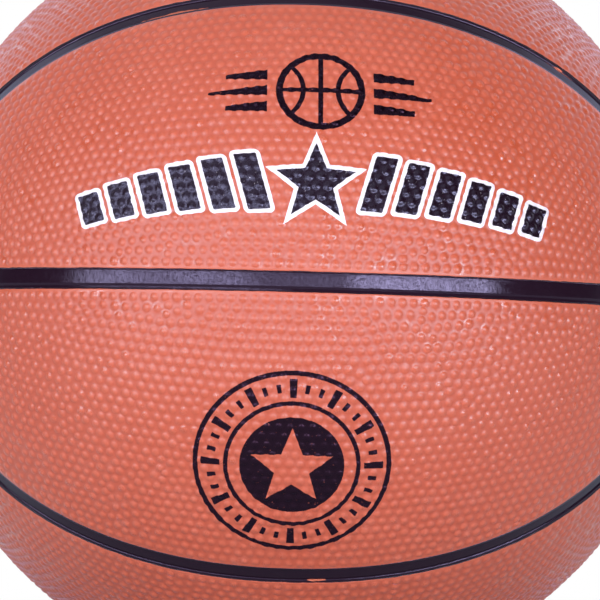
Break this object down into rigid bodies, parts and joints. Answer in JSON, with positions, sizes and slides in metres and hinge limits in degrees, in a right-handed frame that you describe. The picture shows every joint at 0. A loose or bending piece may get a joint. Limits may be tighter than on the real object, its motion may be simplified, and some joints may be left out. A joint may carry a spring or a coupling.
{
  "type": "basketball",
  "caption": "Moulded rubber ball with pebbled panels, sunken seams, a thread-wound carcass and a needle valve.",
  "frame": {"origin": "centre of the ball", "axes": "+Z through the needle valve, X in the plane of the middle seam to the picture's right, -Y towards the camera in the middle of one seam loop"},
  "size_m": [0.2218, 0.222, 0.2219],
  "materials": {
    "panel_rubber": "pebbled satin",
    "seam_rubber": "satin",
    "carcass_rubber": "matte",
    "nylon_thread": "wound thread",
    "bladder_rubber": "smooth satin",
    "valve_rubber": "matte",
    "plug_rubber": "matte"
  },
  "bodies": {
    "root": {"bladder": "bladder_rubber", "valve_housing": "valve_rubber", "valve_plug": "plug_rubber", "nylon_winding": "nylon_thread", "carcass_rubber": "carcass_rubber", "front_upper_inner_panel": "panel_rubber", "front_lower_inner_panel": "panel_rubber", "front_upper_outer_panel": "panel_rubber", "front_lower_outer_panel": "panel_rubber", "back_upper_inner_panel": "panel_rubber", "back_lower_inner_panel": "panel_rubber", "back_upper_outer_panel": "panel_rubber", "back_lower_outer_panel": "panel_rubber", "middle_seam_strip": "seam_rubber", "cross_seam_strip_upper_left": "seam_rubber", "cross_seam_strip_upper_right": "seam_rubber", "cross_seam_strip_lower": "seam_rubber", "front_upper_loop_strip": "seam_rubber", "front_lower_loop_strip": "seam_rubber", "back_upper_loop_strip": "seam_rubber", "back_lower_loop_strip": "seam_rubber"}
  },
  "joints": []
}
